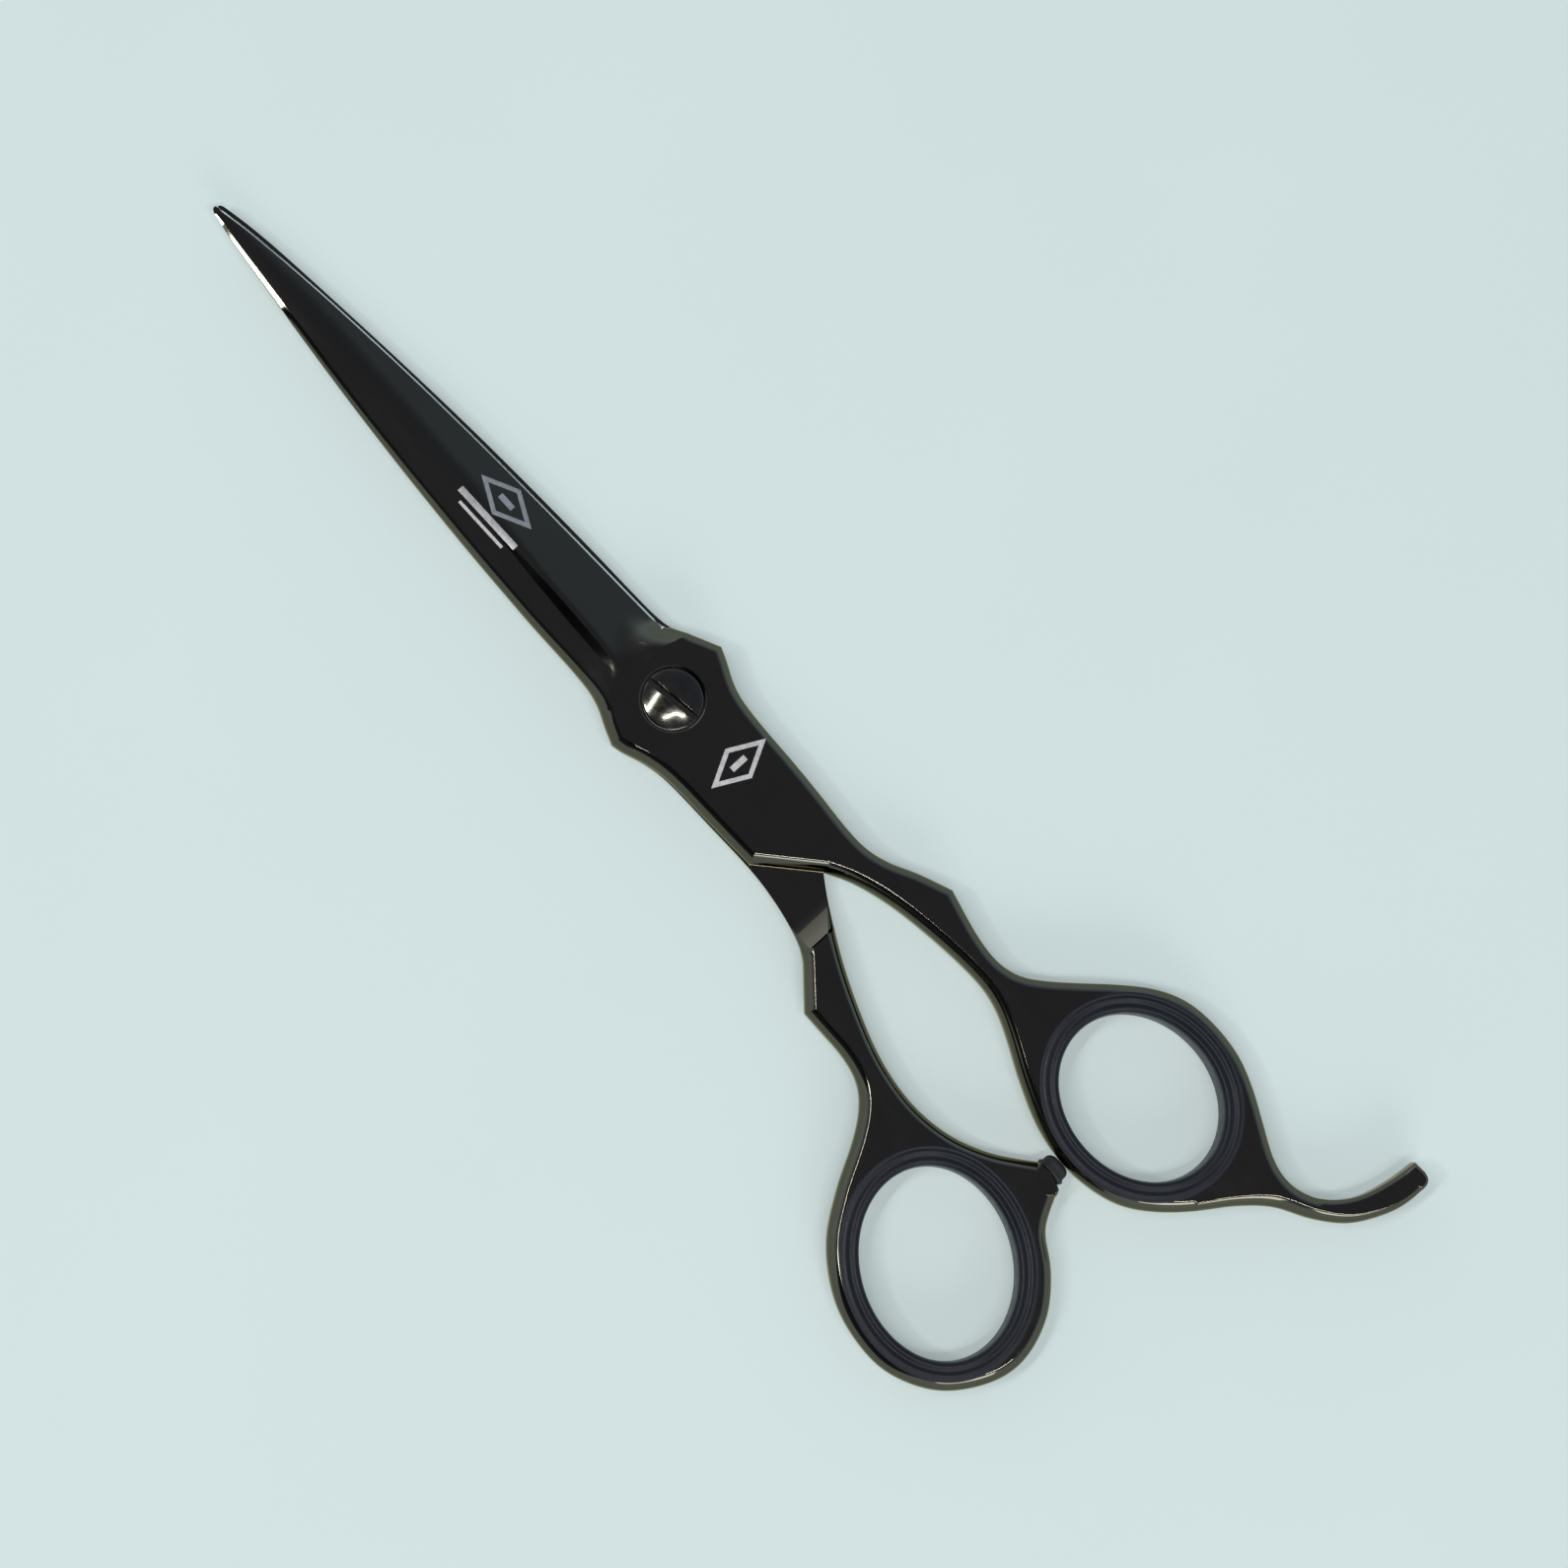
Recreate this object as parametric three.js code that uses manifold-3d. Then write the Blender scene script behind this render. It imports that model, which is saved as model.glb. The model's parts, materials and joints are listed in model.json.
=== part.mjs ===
// Hair cutting shears, 6.5 inch, with a finger rest on the upper half.
// Millimetres. +X points to the blade tips, +Y to the thumb side and +Z up, towards the screw head.
// Each piece is drawn from the pivot axis, and the whole is then centred over the surface it lies on.

import * as THREE from 'three';
import { mergeVertices } from 'three/addons/utils/BufferGeometryUtils.js';
import Module from 'manifold-3d';

const wasm = await Module();
wasm.setup();

// Heights
const RIDE = 3; // the plane that the two blades slide on
const RIDE_GAP = 0.1;
const BODY_TOP = 6; // both halves together at the pivot
const HANDLE_THICKNESS = 5;
const TIP_THICKNESS = 1.3; // one blade at its tip

// Blade grind
const GRIND_SLOPE = 0.42; // rise of the outer facet away from the cutting edge
const EDGE_THICKNESS = 0.35;
const BLADE_START = 8; // where the blades begin to taper

// Ramp from the ride plane up to the full handle thickness
const RAMP_START = -29.4;
const RAMP_RADIUS = 3.2;

// Softened outer edges of the handles
const EDGE_BREAK = 0.5;
const EDGE_BREAK_HEIGHT = 0.9;

// Rings: the inner rim of each rubber insert is an ellipse
const FINGER_RING = { x: -71.8, y: -9.2, a: 10.65, b: 8.9, tilt: 0 };
const THUMB_RING = { x: -69.8, y: 21.7, a: 11.5, b: 9.15, tilt: -28 };
const WEB = 1.0; // rubber between the hole and the metal
const SEAT = 1.1; // the metal's hole is this much larger than the rubber's
const FLANGE = 2.1; // how far the rubber's lips reach over the metal
const LIP_GAP = 0.1;
const INSERT_HEIGHT = 6;

// Pivot
const HEAD_RADIUS = 3.65;
const HEAD_RIM_Z = 6.05;
const HEAD_CROWN_Z = 6.3;
const HEAD_SEAT_Z = 5.3;
const COUNTERBORE_RADIUS = 3.85;
const COUNTERBORE_Z = 4.5;
const JOURNAL_RADIUS = 2;
const JOURNAL_END_Z = 3.1;
const THREAD_RADIUS = 1.6;
const SCREW_END_Z = 0.2;
const RUNNING_CLEARANCE = 0.06;
const BUSH_RADIUS = 2.65;
const BUSH_FLANGE_RADIUS = 3.6;
const BUSH_FLANGE = 0.3;
const BORE_RADIUS = 2.72;
const WASHER_RADIUS = 3.4;
const WASHER_THICKNESS = 0.25;
const SLOT_WIDTH = 0.7;
const SLOT_DEPTH = 0.5;
const SLOT_ANGLE = 8.4;

// Bumper between the two rings
const BUMPER = { x: -71, front: 2.9, back: 4.75, radius: 1.7, stemRadius: 0.8, stemDepth: 2.2 };
const STEM_CLEARANCE = 0.1;

const ROUND = 48; // sides of a round part
const SMOOTHNESS = 3; // outline steps between two neighbouring points of a stroke
const FAR = 200; // longer than any piece

// Outlines in plan. A stroke is a smooth curve through its points, and strokes meet at corners.
const BLADE_ROOT = 3; // each blade is drawn a little way into the boss

const upperHandle = [
  [[8.2, -5.2], [6.5, -5.85]],
  [[6.5, -5.85], [0.95, -8.55]],
  [[0.95, -8.55], [0.45, -8.6]],
  [[0.45, -8.6], [-1.6, -7.6], [-3.5, -6.7], [-6, -6.08], [-12, -5.8], [-18, -5.55], [-23, -5.1],
    [-27, -5.02], [-30.5, -5.7], [-34, -7.4], [-37.8, -9.2]],
  [[-37.8, -9.2], [-38.8, -9.4], [-40, -9.1]],
  [[-40, -9.1], [-44, -8.1], [-48.5, -7.6], [-52, -8.55], [-56, -12.05], [-60, -16.15], [-65, -20.2],
    [-71.5, -21.65], [-78, -20.65], [-84, -17.9], [-88, -15.95], [-91.5, -15.5], [-95, -16.9],
    [-97.7, -20.2], [-99, -24.6], [-99.45, -27.6]],
  [[-99.45, -27.6], [-99.9, -28.2], [-101.3, -28.15], [-102.3, -27.3]],
  [[-102.3, -27.3], [-102.6, -25.4], [-101.9, -22], [-99.6, -17.4], [-95.6, -14.15], [-91.6, -11.9],
    [-88.5, -8.55], [-85, -3.5], [-80.5, 0.6], [-76, 2.35], [-71, 2.8], [-66, 2], [-60, -0.3],
    [-54, -3.2], [-48.5, -4.3], [-42, -3.8], [-35.5, -2.85], [-30.5, -1.35], [-27, 0.45]],
  [[-27, 0.45], [-20.35, 6.35]],
  [[-20.35, 6.35], [-12, 6.55], [-7, 6.65], [-4, 7.2], [0.5, 8.75]],
  [[0.5, 8.75], [1.1, 8.72]],
  [[1.1, 8.72], [4.5, 7.15], [8.2, 6.3]],
  [[8.2, 6.3], [8.2, -5.2]],
];

const lowerHandle = [
  [[8.2, -5.55], [6.4, -5.95]],
  [[6.4, -5.95], [0.95, -8.55]],
  [[0.95, -8.55], [0.45, -8.6]],
  [[0.45, -8.6], [-1.6, -7.6], [-3.5, -6.7], [-6, -6.08], [-12, -5.8], [-20.4, -5.3]],
  [[-20.4, -5.3], [-27, 0.35]],
  [[-27, 0.35], [-30, 2.35], [-36, 5.7], [-42, 8.35], [-48, 10.35], [-54, 11.15], [-59.5, 10.45],
    [-64.5, 8.3], [-69.1, 4.8]],
  [[-69.1, 4.8], [-73, 4.95]],
  [[-73, 4.95], [-74, 7.3], [-75.6, 9.75], [-79.5, 12.25], [-83, 16], [-85, 21.5], [-84.3, 26.4],
    [-81, 31.5], [-76, 34.4], [-71, 34.95], [-65, 33.6], [-59.5, 30.1], [-55.5, 24.7], [-51.8, 18.2],
    [-48.4, 14.6], [-44.5, 13.45], [-38.4, 13.4]],
  [[-38.4, 13.4], [-37.6, 13.25]],
  [[-37.6, 13.25], [-33.2, 9.4]],
  [[-33.2, 9.4], [-31.4, 8.3], [-28, 7.35], [-24, 6.7], [-20.35, 6.5], [-12, 6.6], [-7, 6.7],
    [-4, 7.2], [0.5, 8.75]],
  [[0.5, 8.75], [1.1, 8.72]],
  [[1.1, 8.72], [4.5, 7.1], [8.2, 6]],
  [[8.2, 6], [8.2, -5.55]],
];

const upperEdge = [[8.2, -5.2], [20, -4.7], [30, -4.4], [40, -3.95], [50, -3.35], [60, -2.5],
  [70, -1.4], [75, -0.7], [79.4, 0.1]];
const upperBack = [[78.9, 0.95], [75, 1.7], [70, 2.25], [60, 3.35], [50, 4.35], [40, 5.1], [30, 5.65],
  [20, 6.05], [8.2, 6.25]];
const lowerEdge = [[8.2, 5.95], [20, 5.5], [30, 5.1], [40, 4.5], [50, 3.7], [60, 2.75], [70, 1.6],
  [75, 0.95], [79.2, 0.1]];
const lowerBack = [[78.8, -0.55], [75, -1.2], [70, -1.85], [60, -2.8], [50, -3.65], [40, -4.35],
  [30, -4.85], [20, -5.2], [8.2, -5.5]];

const bladeOutline = (edge, back) => [
  edge,
  [edge.at(-1), back[0]],
  back,
  [back.at(-1), [BLADE_ROOT, back.at(-1)[1]]],
  [[BLADE_ROOT, back.at(-1)[1]], [BLADE_ROOT, edge[0][1]]],
  [[BLADE_ROOT, edge[0][1]], edge[0]],
];

const vector = ([x, y]) => new THREE.Vector2(x, y);

function closedShape(strokes) {
  const points = strokes.flatMap((stroke) => {
    const steps = stroke.length > 2 ? SMOOTHNESS * (stroke.length - 1) : 1;
    return new THREE.SplineCurve(stroke.map(vector)).getPoints(steps).slice(0, -1);
  });
  return new THREE.Shape(points);
}

function ellipseShape(ring, grow) {
  const shape = new THREE.Shape();
  const tilt = THREE.MathUtils.degToRad(ring.tilt);
  shape.absellipse(ring.x, ring.y, ring.a + grow, ring.b + grow, 0, 2 * Math.PI, false, tilt);
  return shape;
}

// A geometry as a solid, with its shared corners merged.
function solid(geometry) {
  geometry.deleteAttribute('normal');
  geometry.deleteAttribute('uv');
  const merged = mergeVertices(geometry, 1e-4);
  const vertProperties = new Float32Array(merged.attributes.position.array);
  const triVerts = new Uint32Array(merged.index.array);
  return new wasm.Manifold(new wasm.Mesh({ numProp: 3, vertProperties, triVerts }));
}

function mesh(name, piece, material) {
  const { vertProperties, triVerts } = piece.getMesh();
  const geometry = new THREE.BufferGeometry();
  geometry.setAttribute('position', new THREE.BufferAttribute(vertProperties, 3));
  geometry.setIndex(new THREE.BufferAttribute(triVerts, 1));
  geometry.computeVertexNormals();
  const made = new THREE.Mesh(geometry, material);
  made.name = name;
  return made;
}

// A flat plate between two heights.
function plate(shape, low, high, curveSegments = ROUND / 2) {
  const geometry = new THREE.ExtrudeGeometry(shape, {
    depth: high - low, bevelEnabled: false, curveSegments,
  });
  return solid(geometry.translate(0, 0, low));
}

// A plate whose outer edges are broken, and whose outline is its widest.
function softPlate(shape, low, high) {
  const geometry = new THREE.ExtrudeGeometry(shape, {
    depth: high - low - 2 * EDGE_BREAK_HEIGHT,
    bevelThickness: EDGE_BREAK_HEIGHT,
    bevelSize: EDGE_BREAK,
    bevelOffset: -EDGE_BREAK,
    bevelSegments: 1,
  });
  return solid(geometry.translate(0, 0, low + EDGE_BREAK_HEIGHT));
}

// A slab of the given side view, as wide as the whole object. The side view is drawn in X and Z.
function sideSlab(shape) {
  const geometry = new THREE.ExtrudeGeometry(shape, { depth: FAR, bevelEnabled: false });
  return solid(geometry.rotateX(Math.PI / 2).translate(0, FAR / 2, 0));
}

function turned(profile) {
  const geometry = new THREE.LatheGeometry(profile.map(vector), ROUND);
  return solid(geometry.rotateX(Math.PI / 2));
}

const ring = (inner, outer, low, high) => turned([
  [inner, low], [outer, low], [outer, high], [inner, high], [inner, low],
]);
const pin = (radius, low, high) => turned([[0, low], [radius, low], [radius, high], [0, high]]);

// Side view of the lower half: tapered blade, flat ride face, ramp and full-height handle.
// The upper half has the same side view turned over.
function halfSideView() {
  const tip = 80;
  const ride = RIDE - RIDE_GAP / 2;
  const handleTop = RIDE + HANDLE_THICKNESS / 2;
  const handleBottom = RIDE - HANDLE_THICKNESS / 2;
  const arcTop = ride + RAMP_RADIUS;
  const arcEnd = Math.asin((arcTop - handleTop) / RAMP_RADIUS);
  const shape = new THREE.Shape();
  shape.moveTo(tip, ride);
  shape.lineTo(RAMP_START, ride);
  shape.absarc(RAMP_START, arcTop, RAMP_RADIUS, 1.5 * Math.PI, Math.PI + arcEnd, true);
  shape.lineTo(-110, handleTop);
  shape.lineTo(-110, handleBottom);
  shape.lineTo(RAMP_START - RAMP_RADIUS, handleBottom);
  shape.lineTo(RAMP_START, 0);
  shape.lineTo(BLADE_START, 0);
  shape.lineTo(tip, RIDE - TIP_THICKNESS);
  return shape;
}

// The wedges of steel ground away along a cutting edge: above the ride plane where side is 1, on
// an edge that faces -Y, and below it where side is -1, on an edge that faces +Y.
function grind(edge, side) {
  const reach = 12;
  const outside = 3;
  const section = new THREE.Shape([
    [-outside, EDGE_THICKNESS - outside * GRIND_SLOPE],
    [reach, EDGE_THICKNESS + reach * GRIND_SLOPE],
    [reach, reach],
    [-outside, reach],
  ].map(vector));
  const wedges = edge.slice(1).map((end, i) => {
    const from = vector(edge[i]);
    const along = vector(end).sub(from);
    const length = along.length();
    along.normalize();
    const geometry = new THREE.ExtrudeGeometry(section, { depth: length + 1, bevelEnabled: false });
    const placed = new THREE.Matrix4().makeBasis(
      new THREE.Vector3(-along.y * side, along.x * side, 0),
      new THREE.Vector3(0, 0, side),
      new THREE.Vector3(along.x, along.y, 0),
    );
    placed.setPosition(from.x, from.y, RIDE);
    return solid(geometry.applyMatrix4(placed));
  });
  return wedges.reduce((all, wedge) => all.add(wedge));
}

const mirrorHeight = (piece) => piece.mirror([0, 0, 1]).translate([0, 0, 2 * RIDE]);

const coating = { color: 0x24262b, roughness: 0.12, metalness: 1 };
const blackSteel = new THREE.MeshStandardMaterial(coating);
const bareSteel = new THREE.MeshStandardMaterial({ color: 0xb9bcc0, roughness: 0.3, metalness: 1 });
const nylon = new THREE.MeshStandardMaterial({ color: 0xe4e2da, roughness: 0.5, metalness: 0 });
const softRubber = new THREE.MeshStandardMaterial({ color: 0x1b2028, roughness: 0.45, metalness: 0 });
const bumperRubber = new THREE.MeshStandardMaterial({ color: 0x141516, roughness: 0.7, metalness: 0 });

function lowerHalf() {
  const sideView = sideSlab(halfSideView());
  const body = softPlate(closedShape(lowerHandle), 0, BODY_TOP);
  const blade = plate(closedShape(bladeOutline(lowerEdge, lowerBack)), 0, BODY_TOP)
    .subtract(grind(lowerEdge, -1));
  const stemHole = pin(BUMPER.stemRadius + STEM_CLEARANCE, 0, BUMPER.stemDepth + STEM_CLEARANCE);
  return body.add(blade)
    .intersect(sideView)
    .subtract(plate(ellipseShape(THUMB_RING, SEAT), -1, BODY_TOP + 1))
    .subtract(pin(THREAD_RADIUS + RUNNING_CLEARANCE, -1, BODY_TOP))
    .subtract(alongY(stemHole, BUMPER.back));
}

function upperHalf() {
  const sideView = mirrorHeight(sideSlab(halfSideView()));
  const body = softPlate(closedShape(upperHandle), 0, BODY_TOP);
  const blade = plate(closedShape(bladeOutline(upperEdge, upperBack)), 0, BODY_TOP)
    .subtract(grind(upperEdge, 1));
  return body.add(blade)
    .intersect(sideView)
    .subtract(plate(ellipseShape(FINGER_RING, SEAT), -1, BODY_TOP + 1))
    .subtract(pin(BORE_RADIUS, 0, BODY_TOP))
    .subtract(pin(COUNTERBORE_RADIUS, COUNTERBORE_Z, BODY_TOP + 1));
}

// Stands a piece that was turned about Z along +Y instead, from the given Y, at the bumper.
function alongY(piece, y) {
  return piece.rotate([-90, 0, 0]).translate([BUMPER.x, y, RIDE]);
}

// A rubber ring with a lip over each face of the metal.
function ringInsert(place) {
  const metalTop = RIDE + HANDLE_THICKNESS / 2;
  const metalBottom = RIDE - HANDLE_THICKNESS / 2;
  const web = plate(ellipseShape(place, WEB), 0, INSERT_HEIGHT);
  const topLip = plate(ellipseShape(place, FLANGE), metalTop + LIP_GAP, INSERT_HEIGHT);
  const bottomLip = plate(ellipseShape(place, FLANGE), 0, metalBottom - LIP_GAP);
  const hole = plate(ellipseShape(place, 0), -1, INSERT_HEIGHT + 1);
  return web.add(topLip).add(bottomLip).subtract(hole);
}

function pivotScrew() {
  const body = turned([
    [0, SCREW_END_Z], [THREAD_RADIUS, SCREW_END_Z], [THREAD_RADIUS, JOURNAL_END_Z],
    [JOURNAL_RADIUS, JOURNAL_END_Z], [JOURNAL_RADIUS, HEAD_SEAT_Z], [HEAD_RADIUS, HEAD_SEAT_Z],
    [HEAD_RADIUS, HEAD_RIM_Z - 0.15], [HEAD_RADIUS - 0.15, HEAD_RIM_Z],
    [0.6 * HEAD_RADIUS, HEAD_CROWN_Z - 0.08], [0, HEAD_CROWN_Z],
  ]);
  const cutter = new THREE.BoxGeometry(3 * HEAD_RADIUS, SLOT_WIDTH, 2 * SLOT_DEPTH);
  const slot = solid(cutter.translate(0, 0, HEAD_CROWN_Z)).rotate([0, 0, SLOT_ANGLE]);
  return body.subtract(slot);
}

// Flanged sleeve: the screw's journal turns in it, and its flange lines the counterbore.
function pivotBush() {
  const low = RIDE + RIDE_GAP;
  const flangeLow = COUNTERBORE_Z + 0.05;
  const inner = JOURNAL_RADIUS + RUNNING_CLEARANCE;
  return ring(inner, BUSH_RADIUS, low, flangeLow + BUSH_FLANGE)
    .add(ring(inner, BUSH_FLANGE_RADIUS, flangeLow, flangeLow + BUSH_FLANGE));
}

// Conical washer: its rim stands on the bush and its inner edge pushes the screw head up.
function springWasher() {
  const inner = JOURNAL_RADIUS + 0.15;
  const low = COUNTERBORE_Z + 0.1 + BUSH_FLANGE;
  const high = HEAD_SEAT_Z - 0.03;
  return turned([
    [inner, high - WASHER_THICKNESS], [WASHER_RADIUS, low], [WASHER_RADIUS, low + WASHER_THICKNESS],
    [inner, high], [inner, high - WASHER_THICKNESS],
  ]);
}

function bumper() {
  const { front, back, radius, stemRadius, stemDepth } = BUMPER;
  const height = back - front;
  const face = turned([
    [0, 0], [radius - 0.3, 0], [radius, 0.35], [radius, height - 0.1], [stemRadius, height - 0.1],
    [stemRadius, height + stemDepth], [0, height + stemDepth],
  ]);
  return alongY(face, front);
}

const shears = new THREE.Group();
shears.add(
  mesh('lower_half', lowerHalf(), blackSteel),
  mesh('upper_half', upperHalf(), blackSteel),
  mesh('pivot_screw', pivotScrew(), blackSteel),
  mesh('spring_washer', springWasher(), bareSteel),
  mesh('pivot_bush', pivotBush(), nylon),
  mesh('finger_ring_insert', ringInsert(FINGER_RING), softRubber),
  mesh('thumb_ring_insert', ringInsert(THUMB_RING), softRubber),
  mesh('bumper', bumper(), bumperRubber),
);

// The origin is under the middle of the whole box, on the surface that the shears lie on.
const box = new THREE.Box3().setFromObject(shears);
const centre = box.getCenter(new THREE.Vector3());
shears.position.set(-centre.x, -centre.y, -box.min.z);

export default shears;
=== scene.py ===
"""Black mirror-coated hair cutting shears, closed and lying flat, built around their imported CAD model.

Plan sizes are in millimetres from the pivot axis and heights are from the surface that the shears lie
on: x towards the tips, y towards the thumb ring and z up. Both halves are made by the same code, as a
half whose outer face is up and whose cutting edge faces -y. The lower half is then turned over.
"""

import json
import math

import bpy
import numpy as np
from mathutils import Matrix, Vector
from mathutils.geometry import delaunay_2d_cdt

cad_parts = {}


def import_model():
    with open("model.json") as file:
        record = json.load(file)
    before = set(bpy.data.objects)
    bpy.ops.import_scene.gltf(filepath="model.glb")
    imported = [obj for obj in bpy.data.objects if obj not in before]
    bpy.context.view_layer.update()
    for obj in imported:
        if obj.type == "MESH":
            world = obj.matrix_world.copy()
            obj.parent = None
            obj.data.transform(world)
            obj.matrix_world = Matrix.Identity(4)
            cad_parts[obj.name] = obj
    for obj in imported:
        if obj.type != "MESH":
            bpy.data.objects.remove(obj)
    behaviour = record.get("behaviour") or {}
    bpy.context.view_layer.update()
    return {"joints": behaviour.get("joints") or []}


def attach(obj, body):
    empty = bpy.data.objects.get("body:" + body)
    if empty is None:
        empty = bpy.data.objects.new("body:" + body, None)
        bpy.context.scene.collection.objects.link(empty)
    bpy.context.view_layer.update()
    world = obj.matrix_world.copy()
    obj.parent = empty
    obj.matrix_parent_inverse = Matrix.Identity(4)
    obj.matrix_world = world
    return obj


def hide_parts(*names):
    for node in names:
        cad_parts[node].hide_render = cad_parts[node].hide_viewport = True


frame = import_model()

MM = 0.001
PIVOT = Vector(next(j["pos_m"] for j in frame["joints"] if j["name"] == "blade_pivot"))
RIDE = PIVOT.z / MM
FACE_GAP = 0.02  # each ride face stands this far from the ride plane
TURNED = 112  # points round a turned piece


# ---------------------------------------------------------------- curves


def spline(points, step=0.3, relax=0):
    """Evenly spaced points along the smooth curve through some points, with its wobble relaxed."""
    p = np.array(points, float)
    before, after = np.vstack([p[:1], p[:-2]]), np.vstack([p[2:], p[-1:]])
    t = np.linspace(0, 1, 24, endpoint=False)[:, None]
    dense = []
    for p0, p1, p2, p3 in zip(before, p[:-1], p[1:], after):
        v1, v2 = (p2 - p0) / 2, (p3 - p1) / 2
        cubic, square = 2 * p1 - 2 * p2 + v1 + v2, 3 * p2 - 3 * p1 - 2 * v1 - v2
        dense.append(cubic * t**3 + square * t**2 + v1 * t + p1)
    dense = np.vstack(dense + [p[-1:]])
    along = np.concatenate([[0], np.cumsum(np.linalg.norm(np.diff(dense, axis=0), axis=1))])
    even = np.linspace(0, along[-1], max(2, round(along[-1] / step)) + 1)
    line = np.column_stack([np.interp(even, along, dense[:, i]) for i in (0, 1)])
    for _ in range(relax):
        line[1:-1] += 0.5 * ((line[:-2] + line[2:]) / 2 - line[1:-1])
    return line


def chain(strokes):
    """Strokes joined end to end."""
    parts = [np.array(s, float) for s in strokes]
    return np.vstack([s[:-1] for s in parts[:-1]] + [parts[-1]])


def at_stations(line, xs):
    """A line that passes the X range of xs once, with its points there put at each of xs."""
    held = np.flatnonzero((line[:, 0] > min(xs) - 0.05) & (line[:, 0] < max(xs) + 0.05))
    first, last = held[0], held[-1] + 1
    part = line[max(first - 1, 0) : last + 1]
    order = np.argsort(part[:, 0])
    xs = np.sort(xs) if line[first, 0] < line[last - 1, 0] else np.sort(xs)[::-1]
    placed = np.column_stack([xs, np.interp(xs, part[order, 0], part[order, 1])])
    return np.vstack([line[:first], placed, line[last:]])


def ellipse(ring, grow, count=176):
    """Points of an ellipse moved outwards by some distance."""
    a = np.linspace(0, 2 * math.pi, count, endpoint=False)
    c, s = np.cos(a), np.sin(a)
    normal = np.column_stack([c / ring["a"], s / ring["b"]])
    normal /= np.linalg.norm(normal, axis=1)[:, None]
    p = np.column_stack([ring["a"] * c, ring["b"] * s]) + grow * normal
    tilt = math.radians(ring["tilt"])
    turn = np.array([[math.cos(tilt), math.sin(tilt)], [-math.sin(tilt), math.cos(tilt)]])
    return p @ turn + (ring["x"], ring["y"])


def circle(radius, count=TURNED):
    a = np.linspace(0, 2 * math.pi, count, endpoint=False)
    return radius * np.column_stack([np.cos(a), np.sin(a)])


def smooth_step(x, low, high):
    """From 0 at low to 1 at high, with a flat start and end."""
    t = np.clip((x - low) / (high - low), 0, 1)
    return t * t * (3 - 2 * t)


def rounded(x, xs, ys, reach):
    """A line through some points, with its corners rounded off for some reach each way."""
    return np.mean([np.interp(x + d, xs, ys) for d in np.linspace(-reach, reach, 9)], axis=0)


def smooth_min(a, b, k):
    """The lower of two values, blended where they differ by less than k."""
    h = np.clip(0.5 + 0.5 * (b - a) / k, 0, 1)
    return b + (a - b) * h - k * h * (1 - h)


def inside(points, outline):
    """Which points are inside a closed outline."""
    x, y = points[:, :1], points[:, 1:]
    x0, y0 = outline.T
    x1, y1 = np.roll(outline, -1, axis=0).T
    crosses = (y0 > y) != (y1 > y)
    rise = np.where(y1 == y0, 1e-12, y1 - y0)
    return (crosses & (x < (x1 - x0) * (y - y0) / rise + x0)).sum(1) % 2 == 1


# ---------------------------------------------------------------- surfaces


def upright(points):
    """Points of everything that isn't turned over, in the row frame."""
    return (points + (PIVOT.x / MM, PIVOT.y / MM, 0)) * MM


def turned_over(points):
    """Points of what is turned over about the ride plane, in the row frame."""
    return upright(points * (1, -1, -1) + (0, 0, 2 * RIDE))


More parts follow.
